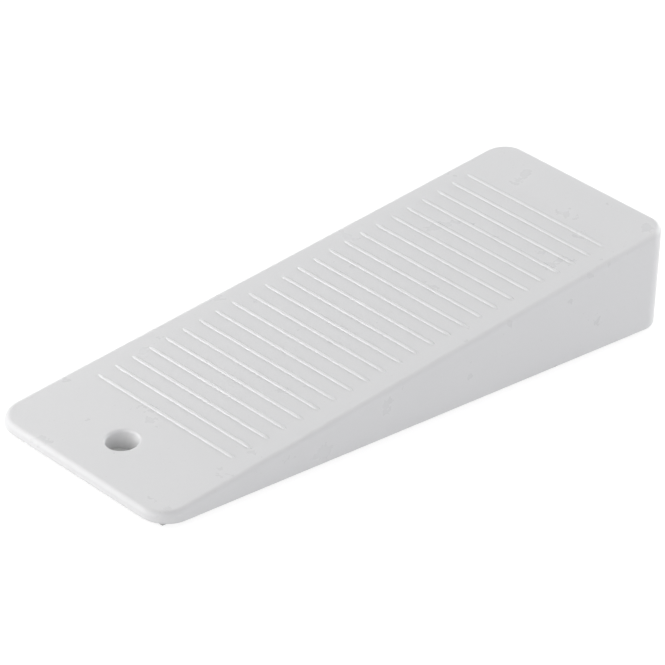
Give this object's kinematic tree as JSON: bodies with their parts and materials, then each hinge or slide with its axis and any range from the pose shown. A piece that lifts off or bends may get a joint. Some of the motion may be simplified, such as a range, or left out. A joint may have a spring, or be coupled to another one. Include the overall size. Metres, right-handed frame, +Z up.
{
  "type": "door wedge",
  "caption": "Hard plastic door wedge with cross ribs on its sloped top, a hang hole through the thin end and a soft ribbed sole under it.",
  "frame": {"origin": "middle of the footprint, on the floor that the sole stands on", "axes": "+X along the length from the thin end to the thick end, +Y across the width, +Z up"},
  "size_m": [0.125, 0.045, 0.0205],
  "materials": {
    "white_plastic": "satin white moulded plastic",
    "soft_sole": "matt soft rubber"
  },
  "bodies": {
    "root": {"wedge_shell": "white_plastic", "non_slip_sole": "soft_sole"}
  },
  "joints": []
}
